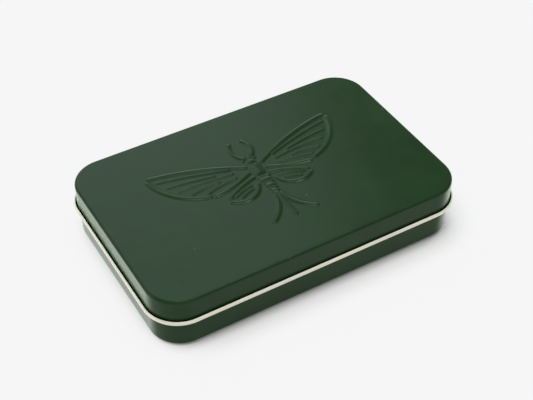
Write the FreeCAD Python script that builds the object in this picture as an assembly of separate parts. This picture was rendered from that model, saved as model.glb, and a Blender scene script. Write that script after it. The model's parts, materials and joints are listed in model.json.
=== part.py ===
"""A pocket fly box: a pressed-steel tin with a hinged lid, a rolled bead and slit foam.

Millimetres, +Z up. The origin is under the middle of the base, the long side runs along X,
the front faces -Y and the hinge is at the back, on +Y.
"""
import FreeCAD, Part
import math
import os

from FreeCAD import Vector

UP = Vector(0, 0, 1)
OUT = Vector(1, 0, 0)
ALONG = Vector(0, 1, 0)
ORIGIN = Vector(0, 0, 0)
QUARTER_TURN = 90.0
HALF_TURN = 180.0
FULL_TURN = 360.0

# Overrun of every cut past the face that it opens, and how level a level edge is
overrun = 1.0
level_tolerance = 0.001

# Lid
lid_length = 120.0
lid_width = 77.5
lid_corner_radius = 12.0
lid_edge_radius = 1.0
tin_height = 22.15
sheet = 0.3

# Bead: the lid's lower edge, rolled outwards into a hollow tube
bead_radius = 0.78
bead_height = 12.9
bead_end_angle = 95.0

# Base
lid_to_base_gap = 0.4
base_edge_radius = 2.0
rim_height = 18.0
hem_height = 2.2
hem_round_share = 0.8
foot_width = 2.0
foot_depth = 0.5
foot_round_share = 0.8

# Snap ridges pressed out of the base's front wall, under the lid
snap_from_lid_end = 35.0
snap_length = 8.0
snap_above_bead = 1.7
snap_stand = 0.2
snap_curve_radius = 1.5

# Hinges
hinge_from_lid_end = 28.0
leaf_width = 14.0
leaf_sheet = 0.32
leaf_low = 5.0
leaf_corner_radius = 1.5
leaf_bend_radius = 0.3
leaf_roll_turn = 300.0
leaf_side_gap = 0.4
notch_clearance = 0.6
pin_running_gap = 0.05
pin_seat_gap = 0.01
pin_engagement = 5.0
weld_spacing = 7.0
weld_radius = 0.9
weld_depth = 0.1

# Foam pads and the adhesive films that hold them
film = 0.15
film_inset = 1.5
base_pad_side_gap = 2.6
base_pad_backing = 3.0
foam_ridge_width = 5.0
foam_ridge_height = 3.2
foam_ridge_round = 1.6
foam_ridge_pitch = 8.4
foam_ridge_side_margin = 2.5
foam_ridge_end_margin = 3.5
slit_pitch = 5.2
slit_width = 0.4
slit_depth = 2.2
lid_pad_side_gap = 3.0
lid_pad_thickness = 3.0
lid_pad_edge_round = 0.6

# Pressed figure on the lid: a winged insect seen from above
figure_span = 76.0
figure_height = 44.0
line_half_width = 0.7
line_height = 0.4
vein_half_width = 0.5
vein_height = 0.3
chest_half_width = 2.0
chest_height = 0.6
head_half_width = 1.5
head_height = 0.5
eye_half_width = 0.6
eye_height = 0.3

# Points of the figure, across as shares of half its span and along as shares of half its height
wing_line_shares = (
    ((0.09, 0.35), (0.51, 0.69), (0.95, 0.88)),
    ((0.98, 0.80), (0.84, 0.31), (0.56, 0.02)),
    ((0.50, -0.02), (0.29, 0.06), (0.10, 0.20)),
    ((0.09, 0.07), (0.26, -0.03), (0.41, -0.17)),
    ((0.42, -0.26), (0.27, -0.35), (0.10, -0.10)),
)
vein_line_shares = (
    ((0.24, 0.43), (0.58, 0.61), (0.90, 0.73)),
    ((0.40, 0.42), (0.63, 0.50), (0.84, 0.54)),
    ((0.24, 0.32), (0.50, 0.37), (0.77, 0.37)),
    ((0.40, 0.25), (0.55, 0.25), (0.68, 0.21)),
    ((0.24, 0.20), (0.41, 0.17), (0.56, 0.10)),
    ((0.17, -0.08), (0.28, -0.13), (0.36, -0.19)),
    ((0.17, -0.16), (0.25, -0.20), (0.31, -0.25)),
)
limb_line_shares = (
    ((0.04, 0.55), (0.10, 0.74), (0.07, 0.97)),
    ((0.03, -0.46), (0.09, -0.74), (0.22, -0.97)),
)
middle_tail_shares = ((0.0, -0.48), (0.0, -0.97))
chest_shares = ((0.0, 0.14), (0.0, 0.30))
head_share = (0.0, 0.43)
eye_share = (0.06, 0.50)
belly_ring_count = 6
belly_start_share = 0.01
belly_step_share = 0.075
belly_wide_share = 0.045
belly_narrow_share = 0.018

# Sizes that follow from the ones above
base_inset = sheet + lid_to_base_gap
base_length = lid_length - 2 * base_inset
base_width = lid_width - 2 * base_inset
base_corner_radius = lid_corner_radius - base_inset
base_floor = foot_depth + sheet
lid_ceiling = tin_height - sheet
bead_bore = bead_radius - sheet
hinge_y = lid_width / 2 + bead_bore
hinge_x = lid_length / 2 - hinge_from_lid_end
snap_x = lid_length / 2 - snap_from_lid_end
pin_radius = bead_bore - pin_running_gap
roll_bore = pin_radius + pin_seat_gap
roll_radius = roll_bore + leaf_sheet
notch_width = leaf_width + 2 * leaf_side_gap
pin_length = notch_width + 2 * pin_engagement


def rounded_face(length, width, radius, z):
    """A flat rounded rectangle, centred on the origin at height z."""
    reach_x = length / 2 - radius
    reach_y = width / 2 - radius
    centres = [Vector(sx * reach_x, sy * reach_y, z) for sx, sy in ((1, 1), (-1, 1), (-1, -1), (1, -1))]
    edges = []
    for quarter, centre in enumerate(centres):
        circle = Part.Circle(centre, UP, radius)
        start = quarter * math.pi / 2
        arc = Part.ArcOfCircle(circle, start, start + math.pi / 2)
        next_centre = centres[(quarter + 1) % 4]
        side = arc.EndPoint + next_centre - centre
        edges.append(arc.toShape())
        edges.append(Part.makeLine(arc.EndPoint, side))
    return Part.Face(Part.Wire(edges))


def rounded_block(length, width, radius, low, high):
    """A rounded rectangle between two heights."""
    return rounded_face(length, width, radius, low).extrude(UP * (high - low))


def level_edges(shape, z):
    """The edges of a shape that lie flat at height z."""
    def at_level(edge):
        heights = (edge.BoundBox.ZMin, edge.BoundBox.ZMax)
        return all(abs(height - z) < level_tolerance for height in heights)
    return [edge for edge in shape.Edges if at_level(edge)]


def ring_sector(centre_x, centre_z, bore, radius, start_angle, end_angle):
    """A sector of a flat ring in the XZ plane, angles counted from +X towards +Z."""
    def point(r, angle):
        turn = math.radians(angle)
        return Vector(centre_x + r * math.cos(turn), 0, centre_z + r * math.sin(turn))
    middle = (start_angle + end_angle) / 2
    outer = Part.Arc(point(radius, start_angle), point(radius, middle), point(radius, end_angle))
    inner = Part.Arc(point(bore, end_angle), point(bore, middle), point(bore, start_angle))
    edges = [
        outer.toShape(),
        Part.makeLine(outer.EndPoint, inner.StartPoint),
        inner.toShape(),
        Part.makeLine(inner.EndPoint, outer.StartPoint),
    ]
    return Part.Face(Part.Wire(edges))


def carried_round(section, length, width, radius):
    """Carry a section in the XZ plane round a rounded rectangle, its X counted from that outline."""
    reach_x = length / 2 - radius
    reach_y = width / 2 - radius
    section = section.translated(OUT * radius)
    pieces = []
    for quarter, (sx, sy) in enumerate(((1, 1), (-1, 1), (-1, -1), (1, -1))):
        corner = section.revolve(ORIGIN, UP, QUARTER_TURN)
        run = 2 * (reach_x if quarter % 2 == 0 else reach_y)
        side = section.extrude(ALONG * run)
        side.rotate(ORIGIN, UP, QUARTER_TURN)
        for piece in (corner, side):
            piece.rotate(ORIGIN, UP, quarter * QUARTER_TURN)
            piece.translate(Vector(sx * reach_x, sy * reach_y, 0))
            pieces.append(piece)
    return pieces


def cap_radius(half_width, height):
    """Radius of the circle whose cap has this half width and height."""
    return (half_width ** 2 + height ** 2) / (2 * height)


def rounded_rod(points, radius):
    """A round-ended rod of this radius along a line of two points or an arc of three."""
    ends = [Part.makeSphere(radius, points[0]), Part.makeSphere(radius, points[-1])]
    if len(points) == 2:
        run = points[1] - points[0]
        return Part.makeCylinder(radius, run.Length, points[0], run).multiFuse(ends)
    path = Part.Arc(*points).toShape()
    first, last = path.ParameterRange
    section = Part.Face(Part.Wire(Part.Circle(points[0], path.tangentAt(first), radius).toShape()))
    bend = section.revolve(path.Curve.Center, path.Curve.Axis, math.degrees(last - first))
    return bend.multiFuse(ends)


def figure_points(shares, side=1):
    """Points of the pressed figure on the lid's top, mirrored where side is -1."""
    half_span, half_height = figure_span / 2, figure_height / 2
    return [Vector(side * across * half_span, along * half_height, tin_height) for across, along in shares]


def pressed_pair(points, half_width, height):
    """The outer and inner form of a line or dome pressed out of the lid's panel."""
    radius = cap_radius(half_width, height)
    sunk = [point - UP * (radius - height) for point in points]
    if len(points) == 1:
        return Part.makeSphere(radius, sunk[0]), Part.makeSphere(radius - sheet, sunk[0])
    return rounded_rod(sunk, radius), rounded_rod(sunk, radius - sheet)


def pressed_figure():
    """Every line and dome of the figure, as outer and inner forms."""
    pairs = []
    for side in (-1, 1):
        for shares in wing_line_shares + limb_line_shares:
            pairs.append(pressed_pair(figure_points(shares, side), line_half_width, line_height))
        for shares in vein_line_shares:
            pairs.append(pressed_pair(figure_points(shares, side), vein_half_width, vein_height))
        pairs.append(pressed_pair(figure_points((eye_share,), side), eye_half_width, eye_height))
    pairs.append(pressed_pair(figure_points(middle_tail_shares), line_half_width, line_height))
    pairs.append(pressed_pair(figure_points(chest_shares), chest_half_width, chest_height))
    pairs.append(pressed_pair(figure_points((head_share,)), head_half_width, head_height))
    for ring in range(belly_ring_count):
        taper = ring / (belly_ring_count - 1)
        across = belly_wide_share + taper * (belly_narrow_share - belly_wide_share)
        along = belly_start_share - ring * belly_step_share
        ends = figure_points(((-across, along), (across, along)))
        pairs.append(pressed_pair(ends, vein_half_width, vein_height))
    return pairs


def lid_shell():
    """The pressed lid with its figure, its rolled bead and the notches for the hinge leaves."""
    outside = rounded_block(lid_length, lid_width, lid_corner_radius, bead_height, tin_height)
    outside = outside.makeFillet(lid_edge_radius, level_edges(outside, tin_height))
    inside = rounded_block(
        lid_length - 2 * sheet, lid_width - 2 * sheet, lid_corner_radius - sheet, -overrun, lid_ceiling)
    inside = inside.makeFillet(lid_edge_radius - sheet, level_edges(inside, lid_ceiling))
    pairs = pressed_figure()
    shell = outside.multiFuse([outer for outer, inner in pairs])
    shell = shell.cut(inside)
    shell = shell.cut(Part.makeCompound([inner for outer, inner in pairs]))
    section = ring_sector(
        bead_bore, bead_height, bead_bore, bead_radius, HALF_TURN, FULL_TURN + bead_end_angle)
    shell = shell.multiFuse(carried_round(section, lid_length, lid_width, lid_corner_radius))
    notch_low = bead_height - bead_radius - overrun
    notch_high = bead_height + roll_radius + notch_clearance
    notch_front = lid_width / 2 - sheet - overrun
    notch_depth = sheet + 2 * bead_radius + 2 * overrun
    for side in (-1, 1):
        corner = Vector(side * hinge_x - notch_width / 2, notch_front, notch_low)
        shell = shell.cut(Part.makeBox(notch_width, notch_depth, notch_high - notch_low, corner))
    return shell.removeSplitter()


def base_shell():
    """The pressed base with its hemmed rim, snap ridges and raised bottom panel."""
    outside = rounded_block(base_length, base_width, base_corner_radius, 0, rim_height)
    outside = outside.makeFillet(base_edge_radius, level_edges(outside, 0))
    hem_low = rim_height - hem_height
    well = rounded_block(
        base_length - 2 * sheet, base_width - 2 * sheet, base_corner_radius - sheet, sheet, hem_low)
    well = well.makeFillet(base_edge_radius - sheet, level_edges(well, sheet))
    hem = 2 * sheet
    mouth = rounded_block(
        base_length - 2 * hem, base_width - 2 * hem, base_corner_radius - hem, hem_low, rim_height + overrun)
    recess_inset = base_edge_radius + foot_width
    panel_inset = recess_inset - sheet
    panel = rounded_block(
        base_length - 2 * panel_inset, base_width - 2 * panel_inset, base_corner_radius - panel_inset,
        0, base_floor)
    panel = panel.makeFillet(foot_depth * foot_round_share, level_edges(panel, base_floor))
    recess = rounded_block(
        base_length - 2 * recess_inset, base_width - 2 * recess_inset, base_corner_radius - recess_inset,
        -overrun, foot_depth)
    recess = recess.makeFillet(foot_depth * foot_round_share, level_edges(recess, foot_depth))
    outer_snaps, inner_snaps = [], []
    snap_y = snap_curve_radius - snap_stand - base_width / 2
    for side in (-1, 1):
        ends = [
            Vector(side * snap_x + end * snap_length / 2, snap_y, bead_height + snap_above_bead)
            for end in (-1, 1)]
        outer_snaps.append(rounded_rod(ends, snap_curve_radius))
        inner_snaps.append(rounded_rod(ends, snap_curve_radius - sheet))
    shell = outside.multiFuse(outer_snaps)
    shell = shell.cut(well.cut(panel)).cut(mouth).cut(recess)
    shell = shell.cut(Part.makeCompound(inner_snaps)).removeSplitter()
    return shell.makeFillet(sheet * hem_round_share, level_edges(shell, rim_height))


def hinge_leaf(side):
    """A stamped leaf: a plate on the base's back wall, bent out under the pin and rolled round it."""
    wall = base_width / 2
    web_low = bead_height - roll_radius
    web_start = wall + leaf_sheet + leaf_bend_radius
    plate_top = web_low - leaf_bend_radius
    plate = Part.makeBox(leaf_sheet, leaf_width, plate_top - leaf_low, Vector(wall, 0, leaf_low))
    corners = [edge for edge in level_edges(plate, leaf_low) if edge.Length < leaf_width / 2]
    plate = plate.makeFillet(leaf_corner_radius, corners)
    weld_height = (leaf_low + plate_top) / 2
    welds = []
    for end in (-1, 1):
        seat = Vector(wall + leaf_sheet - weld_depth, leaf_width / 2 + end * weld_spacing / 2, weld_height)
        welds.append(Part.makeCylinder(weld_radius, weld_depth + overrun, seat, OUT))
    plate = plate.cut(Part.makeCompound(welds))
    bend = ring_sector(
        web_start, plate_top, leaf_bend_radius, leaf_bend_radius + leaf_sheet, QUARTER_TURN, HALF_TURN)
    web = Part.makeBox(hinge_y - web_start, leaf_width, leaf_sheet, Vector(web_start, 0, web_low))
    roll = ring_sector(
        hinge_y, bead_height, roll_bore, roll_radius, -QUARTER_TURN, leaf_roll_turn - QUARTER_TURN)
    leaf = plate.multiFuse([bend.extrude(ALONG * leaf_width), web, roll.extrude(ALONG * leaf_width)])
    leaf = leaf.removeSplitter()
    leaf.rotate(ORIGIN, UP, QUARTER_TURN)
    leaf.translate(OUT * (side * hinge_x + leaf_width / 2))
    return leaf


def hinge_pin(side):
    """A wire pin, held in the leaf's roll, with both ends inside the lid's hollow bead."""
    start = Vector(side * hinge_x - pin_length / 2, hinge_y, bead_height)
    return Part.makeCylinder(pin_radius, pin_length, start, OUT)


def base_pad_size():
    """Length, width and corner radius of the base's foam pad."""
    inset = sheet + base_pad_side_gap
    return base_length - 2 * inset, base_width - 2 * inset, base_corner_radius - inset


def lid_pad_size():
    """Length, width and corner radius of the lid's foam pad."""
    inset = sheet + lid_pad_side_gap
    return lid_length - 2 * inset, lid_width - 2 * inset, lid_corner_radius - inset


def film_block(size, low):
    """An adhesive film, a little smaller than the pad that it holds."""
    length, width, radius = size
    return rounded_block(
        length - 2 * film_inset, width - 2 * film_inset, radius - film_inset, low, low + film)


def base_foam_pad():
    """The base's foam: a backing with ridges, slit across to hold the hooks."""
    length, width, radius = base_pad_size()
    low = base_floor + film
    top = low + base_pad_backing
    backing = rounded_block(length, width, radius, low, top)
    ridge_length = length - 2 * foam_ridge_end_margin
    room = width - foam_ridge_width - 2 * foam_ridge_side_margin
    gaps = int(room / foam_ridge_pitch)
    ridges = []
    for row in range(gaps + 1):
        middle = (row - gaps / 2) * foam_ridge_pitch
        corner = Vector(-ridge_length / 2, middle - foam_ridge_width / 2, low)
        ridge = Part.makeBox(ridge_length, foam_ridge_width, base_pad_backing + foam_ridge_height, corner)
        ridge_top = top + foam_ridge_height
        crest = [edge for edge in level_edges(ridge, ridge_top) if edge.Length > foam_ridge_width]
        ridges.append(ridge.makeFillet(foam_ridge_round, crest))
    slit_gaps = int((ridge_length - slit_pitch) / slit_pitch)
    slits = []
    for slit in range(slit_gaps + 1):
        start_x = (slit - slit_gaps / 2) * slit_pitch - slit_width / 2
        corner = Vector(start_x, -width / 2, top + foam_ridge_height - slit_depth)
        slits.append(Part.makeBox(slit_width, width, slit_depth + overrun, corner))
    return backing.multiFuse(ridges).cut(Part.makeCompound(slits)).removeSplitter()


def base_pad_adhesive():
    """The film between the base's foam and its raised bottom panel."""
    return film_block(base_pad_size(), base_floor)


def lid_foam_pad():
    """The lid's flat foam, with its lower edge rounded."""
    length, width, radius = lid_pad_size()
    top = lid_ceiling - film
    pad = rounded_block(length, width, radius, top - lid_pad_thickness, top)
    return pad.makeFillet(lid_pad_edge_round, level_edges(pad, top - lid_pad_thickness))


def lid_pad_adhesive():
    """The film between the lid's foam and its panel."""
    return film_block(lid_pad_size(), lid_ceiling - film)


nodes = {
    "lid_shell": lid_shell(),
    "base_shell": base_shell(),
    "hinge_leaf_left": hinge_leaf(-1),
    "hinge_leaf_right": hinge_leaf(1),
    "hinge_pin_left": hinge_pin(-1),
    "hinge_pin_right": hinge_pin(1),
    "base_foam_pad": base_foam_pad(),
    "base_pad_adhesive": base_pad_adhesive(),
    "lid_foam_pad": lid_foam_pad(),
    "lid_pad_adhesive": lid_pad_adhesive(),
}

os.makedirs("parts", exist_ok=True)
for name, shape in nodes.items():
    print(name, shape.isValid(), len(shape.Solids), round(shape.Volume, 2))
    shape.exportStep(f"parts/{name}.step")
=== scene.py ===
"""A lacquered pocket tin for fishing flies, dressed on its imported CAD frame."""

import json
import math

import bmesh
import bpy
import numpy as np
from bmesh.types import BMEdge, BMFace, BMVert
from bpy.props import FloatProperty, FloatVectorProperty, IntProperty, PointerProperty
from bpy.types import Operator, Panel, PropertyGroup
from mathutils import Matrix, Vector, noise


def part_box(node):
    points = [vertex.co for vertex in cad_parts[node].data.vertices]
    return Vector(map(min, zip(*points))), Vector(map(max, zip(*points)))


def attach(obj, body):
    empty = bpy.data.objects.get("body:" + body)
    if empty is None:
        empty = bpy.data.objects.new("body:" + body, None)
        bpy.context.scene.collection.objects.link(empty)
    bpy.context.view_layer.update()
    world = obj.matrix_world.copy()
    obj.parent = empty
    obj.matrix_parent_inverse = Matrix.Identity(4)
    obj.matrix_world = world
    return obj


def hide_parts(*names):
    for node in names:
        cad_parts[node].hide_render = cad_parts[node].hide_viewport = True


bl_info = {
    "name": "Fly Tin",
    "version": (1, 0, 0),
    "blender": (4, 5, 0),
    "location": "3D View > Sidebar > Fly Tin",
    "description": "Makes a lacquered pocket tin with a pressed lid, wire hinges and foam pads",
    "category": "Object",
}

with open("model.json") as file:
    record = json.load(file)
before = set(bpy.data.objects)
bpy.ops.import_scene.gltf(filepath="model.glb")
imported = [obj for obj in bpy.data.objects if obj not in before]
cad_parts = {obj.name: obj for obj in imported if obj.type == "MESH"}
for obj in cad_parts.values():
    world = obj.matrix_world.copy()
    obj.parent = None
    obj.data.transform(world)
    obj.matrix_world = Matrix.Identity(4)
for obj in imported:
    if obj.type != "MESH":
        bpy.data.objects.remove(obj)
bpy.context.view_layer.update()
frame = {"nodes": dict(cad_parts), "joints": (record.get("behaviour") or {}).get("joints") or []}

MM = 0.001
LEVEL, UPRIGHT = 0.0, math.radians(90)
WHITE = (1.0, 1.0, 1.0)

# Places of the finishes in the list of a pressed part, and in that of a pad; the fourth is green darkened
# to paint the shade in the bead's crevice
GREEN, IVORY, BARE, PAINTED_SHADE = range(4)
FOAM = 0

# Faces along each round of a profile
LID_EDGE_STEPS, LID_INNER_STEPS = 8, 6
ROLL_STEPS, BEAD_STEPS = 20, 24
BASE_EDGE_STEPS, BASE_INNER_STEPS = 10, 8
HEM_STEPS, PANEL_STEPS = 10, 8
PAD_EDGE_STEPS, RIDGE_STEPS = 5, 14

# Angles in degrees from which an edge is shaded sharp
SHEET_CREASE = 42
FOAM_CREASE = 50

lid_low, lid_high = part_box("lid_shell")
_, base_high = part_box("base_shell")
base_pad_low, base_pad_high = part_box("base_foam_pad")
lid_pad_low, lid_pad_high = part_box("lid_foam_pad")
leaf_low, leaf_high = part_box("hinge_leaf_right")
hinge_place = Vector(frame["joints"][0]["pos_m"])


def length(name, description, default):
    """A length in metres that a user can change."""
    return FloatProperty(
        name=name, description=description, default=default, min=0.0, precision=5, unit="LENGTH"
    )


def angle(name, description, degrees):
    """An angle that a user can change."""
    return FloatProperty(
        name=name, description=description, default=math.radians(degrees), subtype="ANGLE"
    )


def fraction(name, description, default):
    """A share from 0 to 1 that a user can change."""
    return FloatProperty(
        name=name, description=description, default=default, min=0.0, max=1.0, subtype="FACTOR"
    )


def colour(name, description, red, green, blue):
    """A colour that a user can change, given as it looks on a screen from 0 to 255."""
    return FloatVectorProperty(
        name=name, description=description, default=[linear(red), linear(green), linear(blue)],
        min=0.0, max=1.0, size=3, subtype="COLOR",
    )


def linear(level):
    """The light of a screen level from 0 to 255."""
    share = level / 255
    if share <= 0.04045:
        return share / 12.92
    return ((share + 0.055) / 1.055) ** 2.4


class TinSizes(PropertyGroup):
    """Sizes of the pressed lid and base."""

    sheet: length("Sheet", "Thickness of the pressed sheet", 0.3 * MM)
    corner_radius: length("Corner radius", "Radius of the lid's upright corners", 12 * MM)
    lid_edge_radius: length("Lid edge", "Radius of the round at the lid's top edge", 1.0 * MM)
    bead_radius: length(
        "Bead radius", "Outer radius of the lid's rolled edge", hinge_place.z - lid_low.z
    )
    bead_end: angle("Bead end", "Where the roll stops, up from level on its outer side", 80)
    base_edge_radius: length("Base edge", "Radius of the round at the base's bottom edge", 2.0 * MM)
    hem_height: length("Hem", "Height of the base rim's folded hem", 2.2 * MM)
    foot_width: length("Foot", "Width of the ring that the tin stands on", 2 * MM)
    foot_depth: length("Bottom panel", "How far the bottom panel is pressed in", 0.5 * MM)
    step_round: length("Step", "Half the width of the bottom panel's sloping step", 0.4 * MM)
    notch_gap: length("Hinge notch gap", "Room beside each hinge leaf in the lid's edge", 0.4 * MM)
    notch_rise: length("Hinge notch rise", "Room above each hinge leaf in the lid's edge", 0.6 * MM)
    snap_spacing: length("Snap spacing", "From the middle of the tin to a snap ridge", 25 * MM)
    snap_length: length("Snap length", "Length of the straight part of a snap ridge", 8 * MM)
    snap_above_bead: length("Snap rise", "Height of the snap ridges above the bead", 1.7 * MM)
    snap_stand: length("Snap stand", "How far a snap ridge stands out", 0.2 * MM)
    snap_radius: length("Snap radius", "Radius of a snap ridge's curve", 1.5 * MM)
    corner_steps: IntProperty(
        name="Corner steps", description="Faces round each upright corner", default=16, min=4
    )


class FigureSizes(PropertyGroup):
    """Sizes of the winged insect that is pressed into the lid."""

    span: length("Span", "Width of the figure from wing tip to wing tip", 76 * MM)
    height: length("Height", "Height of the figure from feelers to tail", 44 * MM)
    line_half_width: length("Line", "Half the width of an outline", 1.05 * MM)
    line_height: length("Line height", "How far an outline stands up", 0.38 * MM)
    vein_half_width: length("Vein", "Half the width of a wing vein", 0.75 * MM)
    vein_height: length("Vein height", "How far a wing vein stands up", 0.27 * MM)
    cell: length("Cell", "Size of the mesh cells under the figure", 0.3 * MM)


class FoamSizes(PropertyGroup):
    """Sizes of the two foam pads."""

    backing: length("Backing", "Thickness of the base pad under its ridges", 3 * MM)
    ridge_width: length("Ridge width", "Width of a foam ridge", 5 * MM)
    ridge_pitch: length("Ridge pitch", "From one foam ridge to the next", 8.4 * MM)
    ridge_end_margin: length("Ridge end", "From a ridge's end to the pad's end", 3.5 * MM)
    slit_pitch: length("Slit pitch", "From one slit to the next along a ridge", 5.2 * MM)
    slit_depth: length("Slit depth", "Depth of a slit in a ridge", 2.2 * MM)
    base_pad_corner: length("Base pad corner", "Corner radius of the base pad", 8.4 * MM)
    lid_pad_corner: length("Lid pad corner", "Corner radius of the lid pad", 8.7 * MM)
    pad_edge_round: length("Pad edge", "Round at the pads' free edges", 0.6 * MM)
    lid_slit_length: length("Lid slit", "Length of a slit in the lid pad", 6 * MM)
    lid_slit_pitch: length("Lid slit pitch", "From one slit to the next along a row", 9 * MM)
    lid_row_pitch: length("Lid row pitch", "From one row of slits to the next", 7 * MM)
    lid_slit_depth: length("Lid slit depth", "Depth of a slit in the lid pad", 1.6 * MM)


class TinColours(PropertyGroup):
    """Colours of the finishes."""

    green: colour("Green", "Lacquer on the outer face of the sheet", 29, 56, 27)
    ivory: colour("Ivory", "Lacquer on the inner face of the sheet", 240, 237, 217)
    bare: colour("Bare edge", "Tinplate at a cut edge", 176, 176, 172)
    steel: colour("Steel", "Drawn wire of the hinge pins", 168, 170, 174)
    foam: colour("Foam", "Closed cell foam of both pads", 128, 131, 134)
    film: colour("Film", "Adhesive film under the pads", 205, 200, 186)
    floor: colour("Floor", "Pale floor under the tin", 246, 246, 246)


class StageSettings(PropertyGroup):
    """The camera and the soft studio light."""

    azimuth: angle("Azimuth", "Camera's turn round the tin", -30.49)
    elevation: angle("Elevation", "Camera's height above the floor as an angle", 43.09)
    distance: length("Distance", "From the tin's foot to the camera", 408.7 * MM)
    aim_right: length("Aim right", "Camera's shift to its right", 0.96 * MM)
    aim_up: length("Aim up", "Camera's shift upwards", 8.11 * MM)
    lens: FloatProperty(
        name="Lens", description="Focal length in millimetres", default=75.03, unit="CAMERA"
    )
    top_level: fraction("Top light", "Light that the two overhead softboxes give the floor", 0.30)
    back_level: fraction("Back light", "Light that the softbox behind gives the floor", 0.21)
    left_level: fraction("Left light", "Light that the softbox on the left gives the floor", 0.07)
    front_level: fraction("Front light", "Light that the softbox in front gives the floor", 0.04)
    room_level: fraction("Room level", "Light of the room all round", 0.38)
    shadow_lift: fraction("Shadow lift", "How far the floor's shadow is lightened", 0.98)
    contact_reach: length("Contact reach", "How close a piece is where it shades the floor", 15 * MM)
    contact_lean: FloatVectorProperty(
        name="Contact lean",
        description="Side that the floor looks towards for what stands on it",
        default=(-0.8, -0.06, 1.0),
        subtype="XYZ",
    )


def rounded_face(bm, half, radius, height, steps):
    """A level face with rounded corners."""
    corners = bmesh.ops.create_grid(bm, x_segments=1, y_segments=1, size=1.0)["verts"]
    for vert in corners:
        vert.co = (vert.co.x * half.x, vert.co.y * half.y, height)
    bmesh.ops.bevel(
        bm, geom=corners, offset=radius, offset_type="OFFSET",
        affect="VERTICES", segments=steps, profile=0.5, material=-1,
    )
    bm.faces.ensure_lookup_table()
    return bm.faces[-1]


def open_ring(bm, half, radius, height, steps):
    """A level ring of edges with rounded corners."""
    face = rounded_face(bm, half, radius, height, steps)
    ring = list(face.edges)
    bmesh.ops.delete(bm, geom=[face], context="FACES_ONLY")
    return ring


def corner_core(half, corner):
    """Half the size of the block between the middles of the rounded corners."""
    return Vector((half.x - corner, half.y - corner))


def only(kind, items):
    """The items of one kind."""
    return [item for item in items if isinstance(item, kind)]


def clamp(value, reach):
    """The value, kept within reach of zero."""
    return max(-reach, min(reach, value))


def follow_profile(bm, edges, core, steps):
    """Extrudes a ring of edges along steps of corner radius, height and finish, to a last ring."""
    for radius, height, finish in steps:
        made = bmesh.ops.extrude_edge_only(bm, edges=edges)["geom"]
        for vert in only(BMVert, made):
            middle = Vector((clamp(vert.co.x, core.x), clamp(vert.co.y, core.y)))
            outward = (vert.co.xy - middle).normalized()
            vert.co = (middle + outward * radius).to_3d()
            vert.co.z = height
        for face in only(BMFace, made):
            face.material_index = finish
        edges = [edge for edge in only(BMEdge, made) if len(edge.link_faces) == 1]
    return edges


def arc_steps(radius, height, size, start, end, count, finish):
    """Profile steps round a circle of the given size from one angle to another, the first left out."""
    steps = []
    for index in range(1, count + 1):
        turn = start + (end - start) * index / count
        steps.append((radius + size * math.cos(turn), height + size * math.sin(turn), finish))
    return steps


def slope_steps(radius, from_height, to_height, reach, count, finish):
    """Profile steps down or up a smooth slope that is centred on a radius."""
    steps = []
    for index in range(count + 1):
        share = index / count
        rise = 0.5 - 0.5 * math.cos(math.pi * share)
        height = from_height + (to_height - from_height) * rise
        steps.append((radius + reach * (2 * share - 1), height, finish))
    return steps


def lay_grid(bm, columns, rows):
    """A grid whose columns and rows stand at the given places, with its vertices by column and row."""
    across, along = len(columns) - 1, len(rows) - 1
    made = bmesh.ops.create_grid(bm, x_segments=across, y_segments=along, size=0.5)["verts"]
    placed = []
    for vert in made:
        column = round((vert.co.x + 0.5) * across)
        row = round((vert.co.y + 0.5) * along)
        vert.co = (columns[column], rows[row], 0.0)
        placed.append((vert, column, row))
    return placed


def fill_round_grid(bm, ring, placed, finish):
    """Fills the level strip between a ring of edges and the rim of a grid."""
    grid_edges = {edge for vert, _, _ in placed for edge in vert.link_edges if edge.is_boundary}
    made = bmesh.ops.triangle_fill(
        bm, edges=list(ring) + list(grid_edges), use_beauty=True, use_dissolve=False
    )["geom"]
    for face in only(BMFace, made):
        face.material_index = finish


def close_ring(bm, ring, finish):
    """Closes a level ring of edges with one face."""
    for face in bmesh.ops.edgeloop_fill(bm, edges=ring)["faces"]:
        face.material_index = finish


def even_places(half, step):
    """Places from minus half to half, about a step apart."""
    count = max(1, round(2 * half / step))
    return [-half + 2 * half * index / count for index in range(count + 1)]


def mesh_object(bm, name, materials):
    """Turns a bmesh into an object of the scene."""
    mesh = bpy.data.meshes.new(name)
    bm.to_mesh(mesh)
    bm.free()
    for material in materials:
        mesh.materials.append(material)
    made = bpy.data.objects.new(name, mesh)
    bpy.context.scene.collection.objects.link(made)
    return made


def row_places(count, pitch):
    """Places in a row about zero, a pitch apart."""
    return [(index - (count - 1) / 2) * pitch for index in range(count)]


def finish_piece(bm, name, body, materials):
    """Turns a bmesh into a piece that rides on a body."""
    bmesh.ops.recalc_face_normals(bm, faces=bm.faces)
    piece = mesh_object(bm, name, materials)
    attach(piece, body)
    return piece


def shape_with(piece, bm, operation, finish):
    """Joins another bmesh to a piece, or cuts it away, and keeps the result as the piece's mesh."""
    for face in bm.faces:
        face.material_index = finish
    bmesh.ops.recalc_face_normals(bm, faces=bm.faces)
    tool = mesh_object(bm, "shaping_tool", piece.data.materials)
    tool_mesh = tool.data
    shaping = piece.modifiers.new("shaping", "BOOLEAN")
    shaping.object = tool
    shaping.operation = operation
    shaping.solver = "EXACT"
    view = bpy.context.evaluated_depsgraph_get()
    shaped = bpy.data.meshes.new_from_object(piece.evaluated_get(view))
    piece.modifiers.remove(shaping)
    old = piece.data
    piece.data = shaped
    shaped.name = piece.name
    bpy.data.meshes.remove(old)
    bpy.data.objects.remove(tool)
    bpy.data.meshes.remove(tool_mesh)


def shade(piece, crease_degrees):
    """Smooth shading with flat faces kept flat and sharp edges kept sharp."""
    mesh = piece.data
    mesh.shade_smooth()
    mesh.set_sharp_from_angle(angle=math.radians(crease_degrees))
    even = piece.modifiers.new("even_normals", "WEIGHTED_NORMAL")
    even.keep_sharp = True


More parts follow.
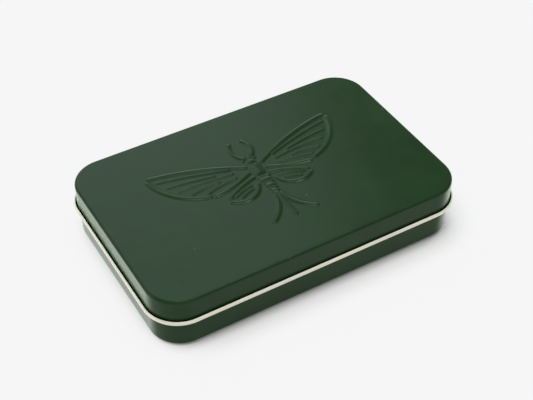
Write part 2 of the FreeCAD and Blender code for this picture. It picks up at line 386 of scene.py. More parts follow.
def rod_with_round_ends(bm, middle, straight, radius):
    """Adds a rod along the tin's length with round ends."""
    verts = bmesh.ops.create_uvsphere(bm, u_segments=32, v_segments=17, radius=radius)["verts"]
    for vert in verts:
        vert.co.z += math.copysign(straight / 2, vert.co.z)
    bmesh.ops.rotate(bm, verts=verts, matrix=Matrix.Rotation(math.pi / 2, 3, "Y"))
    bmesh.ops.translate(bm, verts=verts, vec=middle)


def distance_to_line(x, y, start, end):
    """Distance of points from a straight line between two ends."""
    run = np.subtract(end, start)
    share = ((x - start[0]) * run[0] + (y - start[1]) * run[1]) / max(run @ run, 1e-12)
    share = np.clip(share, 0, 1)
    return np.hypot(x - start[0] - share * run[0], y - start[1] - share * run[1])


def distance_to_arc(x, y, start, through, end):
    """Distance of points from the circular arc through three points."""
    points = np.array([start, through, end])
    sides = 2 * np.array([points[1] - points[0], points[2] - points[0]])
    squares = (points**2).sum(axis=1)
    centre = np.linalg.solve(sides, squares[1:] - squares[0])
    size = np.hypot(*(points[0] - centre))
    turns = np.arctan2(points[:, 1] - centre[1], points[:, 0] - centre[0])
    sweep = (turns[2] - turns[0]) % math.tau
    first = turns[0]
    if (turns[1] - turns[0]) % math.tau > sweep:
        first = turns[2]
        sweep = math.tau - sweep
    turn = (np.arctan2(y - centre[1], x - centre[0]) - first) % math.tau
    to_ends = np.minimum(
        np.hypot(x - start[0], y - start[1]), np.hypot(x - end[0], y - end[1])
    )
    return np.where(turn <= sweep, np.abs(np.hypot(x - centre[0], y - centre[1]) - size), to_ends)


RIDGE_SLOPE = 1.25


def soft_ridge(distance, half_width, height):
    """Height of a ridge with a narrow flat top and even slopes, at a distance from its middle line."""
    return height * np.clip(RIDGE_SLOPE * (1 - distance / half_width), 0, 1)


# The insect's lines, as shares of half its span and half its height, for its right side
WING_LINES = (
    ((0.09, 0.35), (0.51, 0.69), (0.95, 0.88)),
    ((0.98, 0.80), (0.84, 0.31), (0.56, 0.02)),
    ((0.50, -0.02), (0.29, 0.06), (0.10, 0.20)),
    ((0.09, 0.07), (0.26, -0.03), (0.41, -0.17)),
    ((0.42, -0.26), (0.27, -0.35), (0.10, -0.10)),
)
WING_VEINS = (
    ((0.24, 0.43), (0.58, 0.61), (0.90, 0.73)),
    ((0.40, 0.42), (0.63, 0.50), (0.84, 0.54)),
    ((0.24, 0.32), (0.50, 0.37), (0.77, 0.37)),
    ((0.40, 0.25), (0.55, 0.25), (0.68, 0.21)),
    ((0.24, 0.20), (0.41, 0.17), (0.56, 0.10)),
    ((0.17, -0.08), (0.28, -0.13), (0.36, -0.19)),
    ((0.17, -0.16), (0.25, -0.20), (0.31, -0.25)),
)
LIMB_LINES = (
    ((0.04, 0.55), (0.10, 0.74), (0.07, 0.97)),
    ((0.03, -0.46), (0.09, -0.74), (0.22, -0.97)),
)
TAIL_LINE = ((0.0, -0.48), (0.0, -0.97))
CHEST_LINE = ((0.0, 0.14), (0.0, 0.30))
HEAD_PLACE = (0.0, 0.43)
EYE_PLACE = (0.06, 0.50)
CHEST_WIDE, CHEST_HIGH = 2.3, 1.5
HEAD_WIDE, HEAD_HIGH = 1.7, 1.3
EYE_WIDE = 1.1
BELLY_RINGS = 6
BELLY_START = 0.01
BELLY_STEP = 0.075
BELLY_WIDE = 0.045
BELLY_NARROW = 0.018


def figure_heights(x, y, sizes):
    """Heights of the pressed insect at points of the lid's panel."""
    scale = np.array([sizes.span / 2, sizes.height / 2])
    side = np.abs(x)
    rise = np.zeros_like(x)

    outline = (sizes.line_half_width, sizes.line_height)
    vein = (sizes.vein_half_width, sizes.vein_height)

    def raise_line(distance, kind, wide=1.0, high=1.0):
        half_width, height = kind
        np.maximum(rise, soft_ridge(distance, wide * half_width, high * height), out=rise)

    def placed(points):
        return [np.array(point) * scale for point in points]

    for line in WING_LINES + LIMB_LINES:
        raise_line(distance_to_arc(side, y, *placed(line)), outline)
    for line in WING_VEINS:
        raise_line(distance_to_arc(side, y, *placed(line)), vein)
    raise_line(distance_to_line(side, y, *placed(TAIL_LINE)), outline)
    raise_line(distance_to_line(side, y, *placed(CHEST_LINE)), outline, CHEST_WIDE, CHEST_HIGH)
    raise_line(distance_to_line(side, y, *placed([HEAD_PLACE] * 2)), outline, HEAD_WIDE, HEAD_HIGH)
    raise_line(distance_to_line(side, y, *placed([EYE_PLACE] * 2)), vein, EYE_WIDE)
    for ring in range(BELLY_RINGS):
        share = ring / (BELLY_RINGS - 1)
        reach = (BELLY_WIDE + (BELLY_NARROW - BELLY_WIDE) * share) * scale[0]
        level = (BELLY_START - BELLY_STEP * ring) * scale[1]
        bar = [np.array([-reach, level]), np.array([reach, level])]
        raise_line(distance_to_line(x, y, *bar), outline)
    return rise


def shader_group(name, inputs, outputs):
    """A new shader group with value inputs and value outputs, and its two end nodes."""
    group = bpy.data.node_groups.new(name, "ShaderNodeTree")
    for socket, default in inputs.items():
        made = group.interface.new_socket(socket, in_out="INPUT", socket_type="NodeSocketFloat")
        made.default_value = default
    for socket in outputs:
        group.interface.new_socket(socket, in_out="OUTPUT", socket_type="NodeSocketFloat")
    start = group.nodes.new("NodeGroupInput")
    end = group.nodes.new("NodeGroupOutput")
    return group, start, end


def give(tree, socket, value):
    """Links another node's output to a socket, or sets the socket to a constant."""
    if isinstance(value, bpy.types.NodeSocket):
        tree.links.new(value, socket)
    else:
        socket.default_value = value


def feed(tree, node, values):
    """Gives a node's own sockets constants or links, by name."""
    for name, value in values.items():
        give(tree, node.inputs[name], value)


def add_node(tree, kind, **settings):
    """A node of a kind, with settings for its properties and, by socket name, its inputs."""
    node = tree.nodes.new(kind)
    for key, value in settings.items():
        if hasattr(node, key):
            setattr(node, key, value)
        else:
            give(tree, node.inputs[key.replace("_", " ")], value)
    return node


def combine(tree, operation, first, second):
    """The result of a calculation with two values."""
    result = add_node(tree, "ShaderNodeMath", operation=operation)
    give(tree, result.inputs[0], first)
    give(tree, result.inputs[1], second)
    return result.outputs["Value"]


def remap(tree, value, **levels):
    """A value carried from one range of levels to another."""
    return add_node(tree, "ShaderNodeMapRange", Value=value, **levels).outputs["Result"]


def own_texture(tree, kind, scale, **settings):
    """A texture in the piece's own space."""
    place = add_node(tree, "ShaderNodeTexCoord").outputs["Object"]
    return add_node(tree, kind, Vector=place, Scale=scale, **settings)


# Noise levels between which clouds fade, the fade of a dust speck, and the share of cells without one
CLOUD_LOW, CLOUD_HIGH = 0.3, 0.7
SPECK_RIM, SPECK_MIDDLE = 0.07, 0.03
SPECK_FREE = 0.93


def cloud_mask(tree, scale, detail, roughness):
    """A cloudy change of tone."""
    clouds = own_texture(tree, "ShaderNodeTexNoise", scale, Detail=detail, Roughness=roughness)
    return remap(tree, clouds.outputs["Fac"], From_Min=CLOUD_LOW, From_Max=CLOUD_HIGH)


def lacquer_skin():
    """Fine waves of a sprayed lacquer, a cloudy change of tone and a few dust specks."""
    if "lacquer_skin" in bpy.data.node_groups:
        return bpy.data.node_groups["lacquer_skin"]
    scales = {"Wave Scale": 1100.0, "Cloud Scale": 60.0, "Speck Scale": 240.0}
    group, start, end = shader_group("lacquer_skin", scales, ("Waves", "Clouds", "Specks"))
    wave_scale = start.outputs["Wave Scale"]
    waves = own_texture(group, "ShaderNodeTexNoise", wave_scale, Detail=2.0, Roughness=0.55)
    specks = own_texture(group, "ShaderNodeTexVoronoi", start.outputs["Speck Scale"])
    near = remap(group, specks.outputs["Distance"], From_Min=SPECK_RIM, From_Max=SPECK_MIDDLE)
    parts = add_node(group, "ShaderNodeSeparateColor", Color=specks.outputs["Color"])
    rare = combine(group, "GREATER_THAN", parts.outputs["Red"], SPECK_FREE)
    feed(group, end, {
        "Waves": waves.outputs["Fac"],
        "Clouds": cloud_mask(group, start.outputs["Cloud Scale"], detail=4.0, roughness=0.6),
        "Specks": combine(group, "MULTIPLY", near, rare),
    })
    return group


def foam_cells():
    """Closed cells of foam and a cloudy change of tone."""
    if "foam_cells" in bpy.data.node_groups:
        return bpy.data.node_groups["foam_cells"]
    scales = {"Cell Scale": 2200.0, "Cloud Scale": 90.0}
    group, start, end = shader_group("foam_cells", scales, ("Cells", "Clouds"))
    cell_scale = start.outputs["Cell Scale"]
    cells = own_texture(group, "ShaderNodeTexVoronoi", cell_scale, feature="SMOOTH_F1")
    feed(group, end, {
        "Cells": cells.outputs["Distance"],
        "Clouds": cloud_mask(group, start.outputs["Cloud Scale"], detail=5.0, roughness=0.65),
    })
    return group


def new_material(name):
    """An empty node material with its shader."""
    material = bpy.data.materials.new(name)
    material.use_nodes = True
    return material, material.node_tree, material.node_tree.nodes["Principled BSDF"]


def scaled(tone, factor):
    """A tone made darker or lighter."""
    return [min(1.0, factor * level) for level in tone]


def tone_mix(tree, amount, low, high):
    """A colour between two tones by a mask, where the low tone may be a link."""
    mix = add_node(tree, "ShaderNodeMix", data_type="RGBA", Factor=amount)
    tones = [socket for socket in mix.inputs if socket.type == "RGBA"]
    give(tree, tones[0], low if isinstance(low, bpy.types.NodeSocket) else (*low, 1.0))
    give(tree, tones[1], (*high, 1.0))
    return [socket for socket in mix.outputs if socket.type == "RGBA"][0]


def bump(tree, height, strength, depth):
    """Fine relief from a height, as a normal."""
    relief = add_node(tree, "ShaderNodeBump", Strength=strength, Distance=depth, Height=height)
    return relief.outputs["Normal"]


# How far a lacquer faces away where its glancing gloss starts and where it is full
GLANCE_START, GLANCE_FULL = 0.56, 0.75
# How far roughness strays from its middle on lacquer and on metal, and the depth of a lacquer's waves
LACQUER_SPREAD, METAL_SPREAD = 0.03, 0.08
WAVE_DEPTH = 0.05 * MM


def lacquer(name, tone, speck_tone, clouds, rough, shine, glancing_gloss, sheen, wave_strength):
    """Sprayed satin lacquer on tinplate, dull when faced and glossier at a glancing angle."""
    if name in bpy.data.materials:
        return bpy.data.materials[name]
    material, tree, shader = new_material(name)
    skin = add_node(tree, "ShaderNodeGroup", node_tree=lacquer_skin()).outputs
    cloudy = tone_mix(tree, skin["Clouds"], scaled(tone, 1 - clouds), scaled(tone, 1 + clouds))
    facing = add_node(tree, "ShaderNodeLayerWeight", Blend=0.5).outputs["Facing"]
    feed(tree, shader, {
        "Base Color": tone_mix(tree, skin["Specks"], cloudy, speck_tone),
        "Roughness": remap(
            tree, skin["Clouds"], To_Min=rough - LACQUER_SPREAD, To_Max=rough + LACQUER_SPREAD
        ),
        "Normal": bump(tree, skin["Waves"], wave_strength, WAVE_DEPTH),
        "Specular IOR Level": shine,
        "Coat Weight": remap(
            tree, facing, From_Min=GLANCE_START, From_Max=GLANCE_FULL, To_Max=glancing_gloss
        ),
        "Coat IOR": 2.0,
        "Coat Roughness": 0.3,
        "Sheen Weight": sheen,
        "Sheen Roughness": 0.27,
        "Sheen Tint": (0.4, 0.8, 0.35, 1.0),
    })
    return material


def green_lacquer(colours):
    """Dark green on the outer face of the sheet."""
    tone = colours.green
    speck = [0.6 * level + 0.12 for level in tone]
    return lacquer(
        "outer_lacquer", tone, speck, clouds=0.12, rough=0.21, shine=0.12, glancing_gloss=0.85,
        sheen=0.8, wave_strength=0.25,
    )


def crease_lacquer(colours):
    """The green darkened to a quarter, as painted shade inside the bead's roll and on the wall just above
    it.
    """
    tone = scaled(colours.green, 0.25)
    return lacquer(
        "crease_lacquer", tone, scaled(tone, 2.5), clouds=0.2, rough=0.7, shine=0.1,
        glancing_gloss=0.6, sheen=0.0, wave_strength=0.25,
    )


def ivory_lacquer(colours):
    """Warm ivory on the inner face of the sheet."""
    tone = colours.ivory
    return lacquer(
        "inner_lacquer", tone, scaled(tone, 0.82), clouds=0.03, rough=0.3, shine=0.5,
        glancing_gloss=0.9, sheen=0.0, wave_strength=0.2,
    )


def drawn_metal(name, tone, rough, along):
    """Metal with fine lines along the tin's length, or cloudy where along is 1."""
    if name in bpy.data.materials:
        return bpy.data.materials[name]
    material, tree, shader = new_material(name)
    place = add_node(tree, "ShaderNodeTexCoord").outputs["Object"]
    stretch = add_node(tree, "ShaderNodeMapping", Scale=(along, 1.0, 1.0), Vector=place)
    stretched = stretch.outputs["Vector"]
    streaks = add_node(tree, "ShaderNodeTexNoise", Vector=stretched, Scale=5000.0, Detail=3.0)
    lines = streaks.outputs["Fac"]
    feed(tree, shader, {
        "Base Color": tone_mix(tree, lines, scaled(tone, 0.8), tone),
        "Roughness": remap(tree, lines, To_Min=rough - METAL_SPREAD, To_Max=rough + METAL_SPREAD),
        "Normal": bump(tree, lines, strength=0.2, depth=0.01 * MM),
        "Metallic": 1.0,
    })
    return material


def foam_grey(colours):
    """Soft closed cell foam."""
    if "pad_foam" in bpy.data.materials:
        return bpy.data.materials["pad_foam"]
    material, tree, shader = new_material("pad_foam")
    foam = add_node(tree, "ShaderNodeGroup", node_tree=foam_cells()).outputs
    low = scaled(colours.foam, 0.86)
    cloudy = tone_mix(tree, foam["Clouds"], low, scaled(colours.foam, 1.1))
    feed(tree, shader, {
        "Base Color": tone_mix(tree, foam["Cells"], cloudy, low),
        "Roughness": remap(tree, foam["Cells"], To_Min=0.72, To_Max=0.9),
        "Normal": bump(tree, foam["Cells"], strength=0.35, depth=0.15 * MM),
    })
    return material


def adhesive_film(colours):
    """Thin adhesive film with small creases."""
    if "pad_film" in bpy.data.materials:
        return bpy.data.materials["pad_film"]
    material, tree, shader = new_material("pad_film")
    creased = own_texture(tree, "ShaderNodeTexNoise", 220.0, Detail=4.0, Distortion=0.6)
    creases = creased.outputs["Fac"]
    feed(tree, shader, {
        "Base Color": tone_mix(tree, creases, scaled(colours.film, 0.9), colours.film),
        "Roughness": remap(tree, creases, To_Min=0.45, To_Max=0.65),
        "Normal": bump(tree, creases, strength=0.15, depth=0.1 * MM),
    })
    return material


def sheet_materials(colours):
    """Finishes of a pressed part: outer face, inner face, cut edge and painted shade in the bead's
    crevice.
    """
    return (
        green_lacquer(colours),
        ivory_lacquer(colours),
        drawn_metal("cut_edge", colours.bare, rough=0.38, along=1.0),
        crease_lacquer(colours),
    )


def dress_node(name, material):
    """Gives a CAD node its finish."""
    for holder in frame["nodes"][name].material_slots:
        holder.material = material


# The flat strip inside the lid's edge, by the edge's radius, and the border round the insect, by a line
LID_MARGIN = 1.2
FIGURE_BORDER = 3


class FLYTIN_OT_lid(Operator):
    """Makes the pressed lid with its insect, rolled bead and hinge notches"""

    bl_idname = "flytin.lid"
    bl_label = "Lid"

    def execute(self, context):
        scene = context.scene
        sizes, figure = scene.fly_tin, scene.fly_tin_figure
        bead, sheet = sizes.bead_radius, sizes.sheet
        corner, edge = sizes.corner_radius, sizes.lid_edge_radius
        bead_reach = 2 * bead - sheet
        half = Vector((lid_high.x - bead_reach, lid_high.y - bead_reach))
        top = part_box("lid_pad_adhesive")[1].z + sheet
        bead_level = hinge_place.z
        bore = bead - sheet
        roll = corner + bore
        roll_start, roll_end = math.pi, math.tau + sizes.bead_end
        margin = LID_MARGIN * edge

        bm = bmesh.new()
        inset = Vector((margin, margin))
        ring = open_ring(bm, half - inset, corner - margin, top, sizes.corner_steps)
        steps = [
            (corner - edge, top, GREEN),
            *arc_steps(corner - edge, top - edge, edge, UPRIGHT, LEVEL, LID_EDGE_STEPS, GREEN),
            (corner, bead_level + bead, GREEN),
            # The wall's lowest strip and the roll's bore take darkened green: painted shade for the
            # crevice above the bead
            (corner, bead_level, PAINTED_SHADE),
            *arc_steps(roll, bead_level, bore, roll_start, roll_end, ROLL_STEPS, PAINTED_SHADE),
            (roll + bead * math.cos(roll_end), bead_level + bead * math.sin(roll_end), BARE),
            *arc_steps(roll, bead_level, bead, roll_end, roll_start, BEAD_STEPS, IVORY),
            (corner - sheet, top - edge, IVORY),
            *arc_steps(corner - edge, top - edge, edge - sheet, LEVEL, UPRIGHT, LID_INNER_STEPS, IVORY),
        ]
        close_ring(bm, follow_profile(bm, ring, corner_core(half, corner), steps), IVORY)

        border = FIGURE_BORDER * figure.line_half_width
        columns = even_places(figure.span / 2 + border, figure.cell)
        rows = even_places(figure.height / 2 + border, figure.cell)
        placed = lay_grid(bm, columns, rows)
        x = np.array([vert.co.x for vert, _, _ in placed])
        y = np.array([vert.co.y for vert, _, _ in placed])
        for (vert, _, _), rise in zip(placed, figure_heights(x, y, figure)):
            vert.co.z = top + rise
        fill_round_grid(bm, ring, placed, GREEN)
        lid = finish_piece(bm, "pressed_lid", "lid", sheet_materials(scene.fly_tin_colours))

        notches = bmesh.new()
        leaf_middle = (leaf_low.x + leaf_high.x) / 2
        notch_width = leaf_high.x - leaf_low.x + 2 * sizes.notch_gap
        notch_top = leaf_high.z + sizes.notch_rise
        notch_bottom = lid_low.z - bead
        notch_front = half.y - sheet - bead
        notch_back = lid_high.y + bead
        for side in (-1, 1):
            block = bmesh.ops.create_cube(notches, size=1.0)["verts"]
            extent = Vector((notch_width, notch_back - notch_front, notch_top - notch_bottom))
            bmesh.ops.scale(notches, verts=block, vec=extent)
            middle = Vector((
                side * leaf_middle, (notch_front + notch_back) / 2, (notch_bottom + notch_top) / 2
            ))
            bmesh.ops.translate(notches, verts=block, vec=middle)
        shape_with(lid, notches, "DIFFERENCE", BARE)
        shade(lid, SHEET_CREASE)
        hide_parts("lid_shell")
        return {"FINISHED"}


# From the foot ring to the flat of the bottom panel, by the step's half width
STEP_MARGIN = 3


class FLYTIN_OT_base(Operator):
    """Makes the pressed base with its hemmed rim, snap ridges and bottom panel"""

    bl_idname = "flytin.base"
    bl_label = "Base"

    def execute(self, context):
        scene = context.scene
        sizes = scene.fly_tin
        half = Vector((base_high.x, base_high.y))
        lid_half = lid_high.x - 2 * sizes.bead_radius + sizes.sheet
        corner = sizes.corner_radius - (lid_half - half.x)
        edge, sheet, rim = sizes.base_edge_radius, sizes.sheet, base_high.z
        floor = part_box("base_pad_adhesive")[0].z
        foot = corner - edge - sizes.foot_width

        bm = bmesh.new()
        inset = corner - foot + STEP_MARGIN * sizes.step_round
        start = rounded_face(
            bm, half - Vector((inset, inset)), corner - inset, sizes.foot_depth, sizes.corner_steps
        )
        start.material_index = GREEN
        hem_end, slope = rim - sizes.hem_height, sizes.step_round
        inner_slope = slope_steps(foot + sheet, floor, sheet, slope, PANEL_STEPS, IVORY)
        steps = [
            *slope_steps(foot, sizes.foot_depth, 0.0, slope, PANEL_STEPS, GREEN),
            (corner - edge, 0.0, GREEN),
            *arc_steps(corner - edge, edge, edge, -UPRIGHT, LEVEL, BASE_EDGE_STEPS, GREEN),
            (corner, rim - sheet, GREEN),
            *arc_steps(corner - sheet, rim - sheet, sheet, LEVEL, math.pi, HEM_STEPS, GREEN),
            (corner - 2 * sheet, hem_end, GREEN),
            (corner - sheet, hem_end, BARE),
            (corner - sheet, edge, IVORY),
            *arc_steps(corner - edge, edge, edge - sheet, LEVEL, -UPRIGHT, BASE_INNER_STEPS, IVORY),
            *reversed(inner_slope),
        ]
        ring = list(start.edges)
        close_ring(bm, follow_profile(bm, ring, corner_core(half, corner), steps), IVORY)
        base = finish_piece(bm, "pressed_base", "base", sheet_materials(scene.fly_tin_colours))

        snap_level = hinge_place.z + sizes.snap_above_bead
        snap_y = sizes.snap_radius - sizes.snap_stand - half.y
        outer = bmesh.new()
        inner = bmesh.new()
        for side in (-1, 1):
            middle = Vector((side * sizes.snap_spacing, snap_y, snap_level))
            rod_with_round_ends(outer, middle, sizes.snap_length, sizes.snap_radius)
            rod_with_round_ends(inner, middle, sizes.snap_length, sizes.snap_radius - sheet)
        cut = bmesh.ops.bisect_plane(
            outer,
            geom=outer.verts[:] + outer.edges[:] + outer.faces[:],
            plane_co=(0.0, sheet / 2 - half.y, 0.0),
            plane_no=(0.0, 1.0, 0.0),
            clear_outer=True,
        )["geom_cut"]
        bmesh.ops.edgeloop_fill(outer, edges=only(BMEdge, cut))
        shape_with(base, outer, "UNION", GREEN)
        shape_with(base, inner, "DIFFERENCE", IVORY)
        shade(base, SHEET_CREASE)
        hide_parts("base_shell")
        return {"FINISHED"}


def pad_skin(bm, low, high, corner, steps, edge_round, up):
    """The rounded sides and flat back of a pad, and the free ring of edges at its working face."""
    half = Vector((high.x, high.y))
    margin = 2 * edge_round
    face_level, back_level = (high.z, low.z) if up > 0 else (low.z, high.z)
    ring = open_ring(bm, half - Vector((margin, margin)), corner - margin, face_level, steps)
    profile = [(corner - edge_round, face_level, FOAM)]
    turned = face_level - up * edge_round
    for radius, height, _ in arc_steps(
        corner - edge_round, 0.0, edge_round, UPRIGHT, LEVEL, PAD_EDGE_STEPS, FOAM
    ):
        profile.append((radius, turned + up * height, FOAM))
    profile.append((corner, back_level, FOAM))
    close_ring(bm, follow_profile(bm, ring, corner_core(half, corner), profile), FOAM)
    return ring, face_level


# A ridge of the base pad: how square it is, its sloping tip, a slit's round by the slits' pitch, the share
# of the height that is kept at each place along it, and its waves
RIDGE_SQUARE = 0.7
RIDGE_TIP = 0.25 * MM
LIP_SHARE, SHOULDER_SHARE = 0.05, 0.16
RIDGE_KEEP = {"end": 0.0, "foot": 0.9, "top": 0.99, "lip": 0.94, "crown": 1.0, "slit": 1.0}
RIDGE_WAVE_SCALE, RIDGE_WAVE = 140.0, 0.03


class FLYTIN_OT_base_foam(Operator):
    """Makes the base pad with its rows of slit ridges"""

    bl_idname = "flytin.base_foam"
    bl_label = "Base foam"

    def execute(self, context):
        scene = context.scene
        sizes, foam = scene.fly_tin, scene.fly_tin_foam
        face = Vector((base_pad_high.x, base_pad_high.y, base_pad_low.z + foam.backing))
        ridge_height = base_pad_high.z - face.z
        bm = bmesh.new()
        ring, level = pad_skin(
            bm, base_pad_low, face, foam.base_pad_corner, sizes.corner_steps, foam.pad_edge_round, 1
        )

        half_row = foam.ridge_width / 2
        row_count = math.floor((2 * base_pad_high.y - foam.ridge_width) / foam.ridge_pitch) + 1
        rows, rises = [], []
        for middle in row_places(row_count, foam.ridge_pitch):
            for step in range(RIDGE_STEPS + 1):
                turn = math.pi * (1 - step / RIDGE_STEPS)
                across = math.copysign(abs(math.cos(turn)) ** RIDGE_SQUARE, math.cos(turn))
                rows.append(middle + half_row * across)
                rises.append(ridge_height * abs(math.sin(turn)) ** RIDGE_SQUARE)

        ridge_reach = base_pad_high.x - foam.ridge_end_margin
        slit_count = math.floor(2 * ridge_reach / foam.slit_pitch)
        lip, shoulder = LIP_SHARE * foam.slit_pitch, SHOULDER_SHARE * foam.slit_pitch
        along = [(-ridge_reach, "end"), (RIDGE_TIP - ridge_reach, "foot")]
        for middle in row_places(slit_count, foam.slit_pitch):
            along += [
                (middle - shoulder, "top"),
                (middle - lip, "lip"),
                (middle, "slit"),
                (middle + lip, "lip"),
                (middle + shoulder, "top"),
                (middle + foam.slit_pitch / 2, "crown"),
            ]
        along[-1] = (ridge_reach - RIDGE_TIP, "foot")
        along.append((ridge_reach, "end"))

        slit_floor = ridge_height - foam.slit_depth
        placed = lay_grid(bm, [place for place, _ in along], rows)
        for vert, column, row in placed:
            spot = along[column][1]
            rise = rises[row] * RIDGE_KEEP[spot]
            if spot == "slit":
                rise = min(rise, slit_floor)
            waves = noise.noise(vert.co * RIDGE_WAVE_SCALE) * RIDGE_WAVE * rise
            vert.co.z = level + rise - abs(waves)
        fill_round_grid(bm, ring, placed, FOAM)
        pad = finish_piece(bm, "base_foam", "base", [foam_grey(scene.fly_tin_colours)])
        shade(pad, FOAM_CREASE)
        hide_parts("base_foam_pad")
        return {"FINISHED"}


# Places along a slit of the lid pad, by half its length, and whether it is open there
SLIT_ALONG = ((-1.15, 0), (-1.0, 0), (-0.8, 1), (0, 1), (0.8, 1), (1.0, 0), (1.15, 0))
# Places across a slit in millimetres, with the share of its depth, and the waves of the pad's face
SLIT_ACROSS = ((-1.2, 0.0), (-0.25, 0.12), (0.0, 1.0), (0.25, 0.12), (1.2, 0.0))
PAD_WAVE_SCALE, PAD_WAVE = 90.0, 0.08


class FLYTIN_OT_lid_foam(Operator):
    """Makes the flat lid pad with its rows of short slits"""

    bl_idname = "flytin.lid_foam"
    bl_label = "Lid foam"

    def execute(self, context):
        scene = context.scene
        sizes, foam = scene.fly_tin, scene.fly_tin_foam
        bm = bmesh.new()
        ring, level = pad_skin(
            bm, lid_pad_low, lid_pad_high, foam.lid_pad_corner, sizes.corner_steps,
            foam.pad_edge_round, -1,
        )
        half_slit = foam.lid_slit_length / 2
        per_row = math.floor((2 * lid_pad_high.x - 2 * foam.lid_pad_corner) / foam.lid_slit_pitch)
        row_count = math.floor((2 * lid_pad_high.y - foam.lid_row_pitch) / foam.lid_row_pitch)
        along = [
            (middle + share * half_slit, open_share)
            for middle in row_places(per_row, foam.lid_slit_pitch)
            for share, open_share in SLIT_ALONG
        ]
        across = [
            (middle + shift * MM, sink)
            for middle in row_places(row_count, foam.lid_row_pitch)
            for shift, sink in SLIT_ACROSS
        ]
        placed = lay_grid(bm, [place for place, _ in along], [place for place, _ in across])
        last_column, last_row = len(along) - 1, len(across) - 1
        for vert, column, row in placed:
            sunk = along[column][1] * across[row][1] * foam.lid_slit_depth
            waves = abs(noise.noise(vert.co * PAD_WAVE_SCALE)) * PAD_WAVE * MM
            if column in (0, last_column) or row in (0, last_row):
                waves = 0.0
            vert.co.z = level + sunk + waves
        fill_round_grid(bm, ring, placed, FOAM)
        pad = finish_piece(bm, "lid_foam", "lid", [foam_grey(scene.fly_tin_colours)])
        shade(pad, FOAM_CREASE)
        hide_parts("lid_foam_pad")
        return {"FINISHED"}


class FLYTIN_OT_hinges(Operator):
    """Finishes the hinge leaves and their wire pins"""

    bl_idname = "flytin.hinges"
    bl_label = "Hinges"

    def execute(self, context):
        colours = context.scene.fly_tin_colours
        wire = drawn_metal("drawn_wire", colours.steel, rough=0.3, along=0.02)
        for side in ("left", "right"):
            dress_node(f"hinge_leaf_{side}", green_lacquer(colours))
            dress_node(f"hinge_pin_{side}", wire)
        return {"FINISHED"}


class FLYTIN_OT_films(Operator):
    """Finishes the adhesive films under the pads"""

    bl_idname = "flytin.films"
    bl_label = "Adhesive films"

    def execute(self, context):
        film = adhesive_film(context.scene.fly_tin_colours)
        dress_node("base_pad_adhesive", film)
        dress_node("lid_pad_adhesive", film)
        return {"FINISHED"}


def soft_light(name, towards, spread_degrees, level, tint):
    """A large far softbox in a direction, set by the light that it gives a level white floor."""
    lamp = bpy.data.lights.new(name, "SUN")
    lamp.angle = math.radians(spread_degrees)
    lamp.color = tint
    direction = Vector(towards).normalized()
    lamp.energy = level * math.pi / direction.z
    holder = bpy.data.objects.new(name, lamp)
    bpy.context.scene.collection.objects.link(holder)
    holder.rotation_euler = direction.to_track_quat("Z", "Y").to_euler()


def ray_kinds(tree):
    """Whether a ray comes from the camera, and whether it was mirrored or came through something."""
    rays = add_node(tree, "ShaderNodeLightPath").outputs
    mirrored = combine(tree, "MAXIMUM", rays["Is Glossy Ray"], rays["Is Transmission Ray"])
    return rays["Is Camera Ray"], mirrored


def mix_surface(tree, output, amount, first, second):
    """Mixes two shaders and gives the mix to the tree's output."""
    both = add_node(tree, "ShaderNodeMixShader", Fac=amount)
    tree.links.new(first, both.inputs[1])
    tree.links.new(second, both.inputs[2])
    tree.links.new(both.outputs["Shader"], tree.nodes[output].inputs["Surface"])


# Heights and depths of a direction between which the backdrop fades in
BACKDROP_TOP, BACKDROP_FULL = 0.4, 0.1
BACKDROP_FRONT, BACKDROP_BACK = -0.3, 0.3


def pale_room(colours, stage):
    """A dim even room, with a pale backdrop low at the back that only the eye and reflections see."""
    world = bpy.data.worlds.new("pale_room")
    world.use_nodes = True
    tree = world.node_tree
    room = tree.nodes["Background"]
    feed(tree, room, {"Color": (*WHITE, 1.0), "Strength": stage.room_level})
    backdrop = add_node(tree, "ShaderNodeBackground", Color=(*colours.floor, 1.0), Strength=1.0)
    direction = add_node(tree, "ShaderNodeTexCoord").outputs["Generated"]
    parts = add_node(tree, "ShaderNodeSeparateXYZ", Vector=direction).outputs
    low = remap(tree, parts["Z"], From_Min=BACKDROP_TOP, From_Max=BACKDROP_FULL)
    behind = remap(tree, parts["Y"], From_Min=BACKDROP_FRONT, From_Max=BACKDROP_BACK)
    band = combine(tree, "MULTIPLY", low, behind)
    from_camera, mirrored = ray_kinds(tree)
    seen = combine(tree, "MAXIMUM", from_camera, combine(tree, "MULTIPLY", mirrored, band))
    light, pale = room.outputs["Background"], backdrop.outputs["Background"]
    mix_surface(tree, "World Output", seen, light, pale)
    return world


# How open the floor is where its shade is darkest and where it ends
SHADE_DARK, SHADE_END = 0.4, 0.96


def pale_floor(colours, stage):
    """A matt pale floor, lightened for the eye and for reflections, with shade where a piece is close."""
    material, tree, shader = new_material("pale_floor")
    tone = (*colours.floor, 1.0)
    feed(tree, shader, {"Base Color": tone, "Roughness": 0.9, "Specular IOR Level": 0.0})
    glow = add_node(tree, "ShaderNodeEmission", Color=tone, Strength=1.0)
    seen = combine(tree, "MAXIMUM", *ray_kinds(tree))
    lean = add_node(tree, "ShaderNodeVectorMath", operation="NORMALIZE")
    lean.inputs[0].default_value = stage.contact_lean
    close = add_node(
        tree, "ShaderNodeAmbientOcclusion", samples=16, Distance=stage.contact_reach,
        Normal=lean.outputs["Vector"],
    )
    away = remap(
        tree, close.outputs["AO"], interpolation_type="SMOOTHSTEP",
        From_Min=SHADE_DARK, From_Max=SHADE_END, To_Max=stage.shadow_lift,
    )
    lifted = combine(tree, "MULTIPLY", away, seen)
    mix_surface(tree, "Material Output", lifted, shader.outputs["BSDF"], glow.outputs["Emission"])
    return material


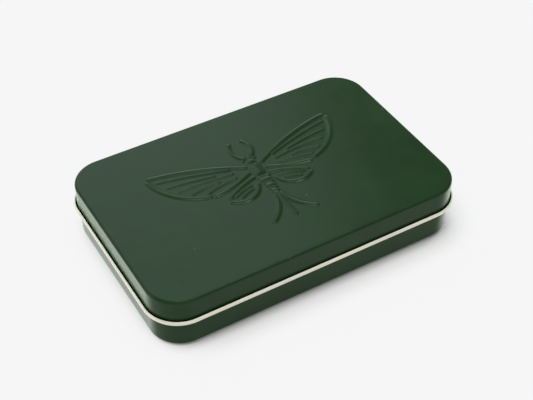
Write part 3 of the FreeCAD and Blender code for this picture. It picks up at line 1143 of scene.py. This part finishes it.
# Each softbox: name, way to it, spread in degrees, the level that sets it, share of that level, and tint
SOFTBOXES = (
    ("top_light", (-0.02, -0.02, 1.0), 14, "top_level", 0.5, WHITE),
    ("right_light", (0.33, -0.02, 0.94), 14, "top_level", 0.5, WHITE),
    ("back_light", (0.08, 0.67, 0.73), 42, "back_level", 1.0, (0.92, 1.0, 1.06)),
    ("front_light", (-0.1, -0.88, 0.36), 36, "front_level", 1.0, WHITE),
    ("left_light", (-0.88, 0.38, 0.26), 44, "left_level", 1.0, WHITE),
)
FLOOR_SIZE = 4.0
NEAREST_SEEN = 0.01


class FLYTIN_OT_stage(Operator):
    """Sets up the pale floor, the soft light and the camera"""

    bl_idname = "flytin.stage"
    bl_label = "Stage"

    def execute(self, context):
        scene = context.scene
        stage = scene.fly_tin_stage
        scene.view_settings.view_transform = "Standard"

        bm = bmesh.new()
        bmesh.ops.create_grid(bm, x_segments=1, y_segments=1, size=FLOOR_SIZE)
        floor = mesh_object(bm, "floor", [pale_floor(scene.fly_tin_colours, stage)])
        scene.world = pale_room(scene.fly_tin_colours, stage)
        for name, towards, spread, level, share, tint in SOFTBOXES:
            soft_light(name, towards, spread, getattr(stage, level) * share, tint)

        turn, rise = stage.azimuth, stage.elevation
        back = Vector((
            math.sin(turn) * math.cos(rise), -math.cos(turn) * math.cos(rise), math.sin(rise)
        ))
        right = Vector((math.cos(turn), math.sin(turn), 0.0))
        up = back.cross(right)
        lens = bpy.data.cameras.new("camera")
        lens.sensor_fit = "HORIZONTAL"
        lens.lens = stage.lens
        camera = bpy.data.objects.new("camera", lens)
        scene.collection.objects.link(camera)
        place = back * stage.distance + right * stage.aim_right + up * stage.aim_up
        turned = Matrix((right, up, back)).transposed().to_4x4()
        camera.matrix_world = Matrix.Translation(place) @ turned
        lens.clip_start = NEAREST_SEEN
        scene.camera = camera
        return {"FINISHED"}


class FLYTIN_PT_panel(Panel):
    """Lists the pieces of the tin and their sizes"""

    bl_idname = "FLYTIN_PT_panel"
    bl_label = "Fly Tin"
    bl_space_type = "VIEW_3D"
    bl_region_type = "UI"
    bl_category = "Fly Tin"

    def draw(self, context):
        layout = self.layout
        for maker in MAKERS:
            layout.operator(maker.bl_idname)
        for holder in HOLDERS:
            group = getattr(context.scene, holder)
            box = layout.box()
            for key in group.__annotations__:
                box.prop(group, key)


MAKERS = (
    FLYTIN_OT_lid,
    FLYTIN_OT_base,
    FLYTIN_OT_base_foam,
    FLYTIN_OT_lid_foam,
    FLYTIN_OT_hinges,
    FLYTIN_OT_films,
    FLYTIN_OT_stage,
)
HOLDERS = {
    "fly_tin": TinSizes,
    "fly_tin_figure": FigureSizes,
    "fly_tin_foam": FoamSizes,
    "fly_tin_colours": TinColours,
    "fly_tin_stage": StageSettings,
}


def register():
    """Adds the tin's settings, operators and panel to Blender."""
    for holder, group in HOLDERS.items():
        bpy.utils.register_class(group)
        setattr(bpy.types.Scene, holder, PointerProperty(type=group))
    for maker in MAKERS:
        bpy.utils.register_class(maker)
    bpy.utils.register_class(FLYTIN_PT_panel)


def unregister():
    """Takes the tin's settings, operators and panel out again."""
    bpy.utils.unregister_class(FLYTIN_PT_panel)
    for maker in reversed(MAKERS):
        bpy.utils.unregister_class(maker)
    for holder, group in HOLDERS.items():
        delattr(bpy.types.Scene, holder)
        bpy.utils.unregister_class(group)


def main():
    """Makes every piece in order."""
    register()
    bpy.ops.flytin.lid()
    bpy.ops.flytin.base()
    bpy.ops.flytin.base_foam()
    bpy.ops.flytin.lid_foam()
    bpy.ops.flytin.hinges()
    bpy.ops.flytin.films()
    bpy.ops.flytin.stage()
    bpy.context.view_layer.update()


if __name__ == "__main__":
    main()
